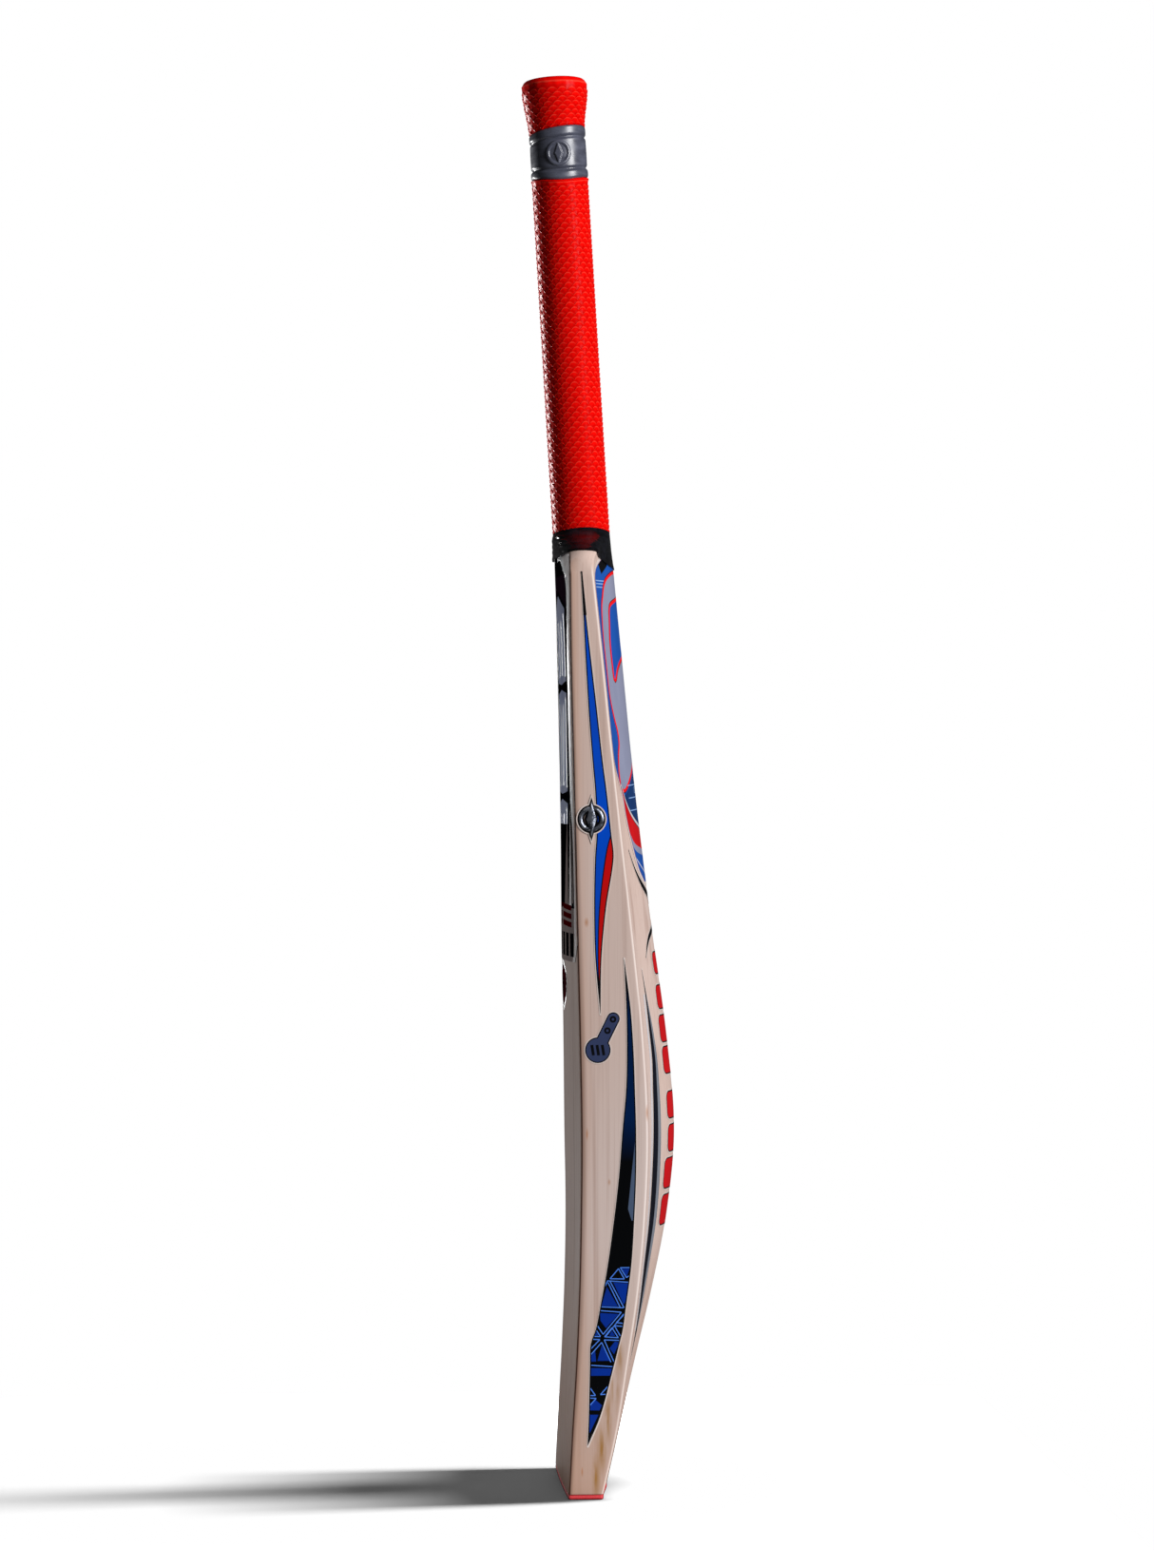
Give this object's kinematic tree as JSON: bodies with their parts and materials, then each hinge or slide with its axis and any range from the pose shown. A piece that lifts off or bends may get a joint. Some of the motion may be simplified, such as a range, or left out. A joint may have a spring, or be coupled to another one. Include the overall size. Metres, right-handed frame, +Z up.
{
  "type": "cricket bat",
  "caption": "adult cricket bat, thick-edged willow blade with a high spine, spliced cane handle, red scale-pattern rubber grip with grey collar, printed film artwork and red toe guard",
  "frame": {"origin": "centre of the flat underside of the toe guard, halfway between the edges", "axes": "+Z up the bat to the top of the handle, +X across the blade, +Y from the hitting face to the spine of the back"},
  "size_m": [0.1108, 0.0928, 0.8511],
  "materials": {
    "willow": "bare oiled willow, fine straight grain",
    "cane": "planed manau cane, glued",
    "insert_rubber": "matt black sheet rubber",
    "twine": "waxed binding twine",
    "grip_rubber": "moulded scale pattern, satin red",
    "collar_rubber": "satin grey moulded rubber",
    "black_film": "glossy black film",
    "toe_rubber": "satin red rubber",
    "label_blue": "glossy printed film, blue and grey with red outlines",
    "label_dark": "glossy printed film, near black with pale shapes",
    "slate_print": "satin printed film, slate",
    "red_print": "glossy printed film, red with black outline and pale border",
    "blue_print": "glossy printed film, cobalt blue and red",
    "navy_print": "glossy printed film, black and navy",
    "badge_foil": "brushed silver foil emblem with dark outline"
  },
  "bodies": {
    "root": {"willow_blade": "willow", "cane_strip_1": "cane", "cane_strip_2": "cane", "cane_strip_3": "cane", "cane_strip_4": "cane", "cane_strip_5": "cane", "cane_strip_6": "cane", "cane_strip_7": "cane", "cane_strip_8": "cane", "cane_strip_9": "cane", "cane_strip_10": "cane", "cane_strip_11": "cane", "cane_strip_12": "cane", "rubber_insert_1": "insert_rubber", "rubber_insert_2": "insert_rubber", "rubber_insert_3": "insert_rubber", "handle_binding": "twine", "grip": "grip_rubber", "grip_collar": "collar_rubber", "shoulder_wrap": "black_film", "toe_guard": "toe_rubber", "face_label": "label_dark", "face_mark": "label_dark", "back_label": "label_blue", "back_chevron_upper": "black_film", "back_chevron_lower": "black_film", "spine_block_1": "red_print", "spine_block_2": "red_print", "spine_block_3": "red_print", "spine_block_4": "red_print", "spine_block_5": "red_print", "spine_block_6": "red_print", "spine_block_7": "red_print", "spine_block_8": "red_print", "back_stripe_right": "slate_print", "edge_upper_right": "blue_print", "edge_lower_right": "navy_print", "edge_badge_right": "badge_foil", "back_stripe_left": "slate_print", "edge_upper_left": "blue_print", "edge_lower_left": "navy_print", "edge_badge_left": "badge_foil", "weight_tag": "slate_print"}
  },
  "joints": []
}
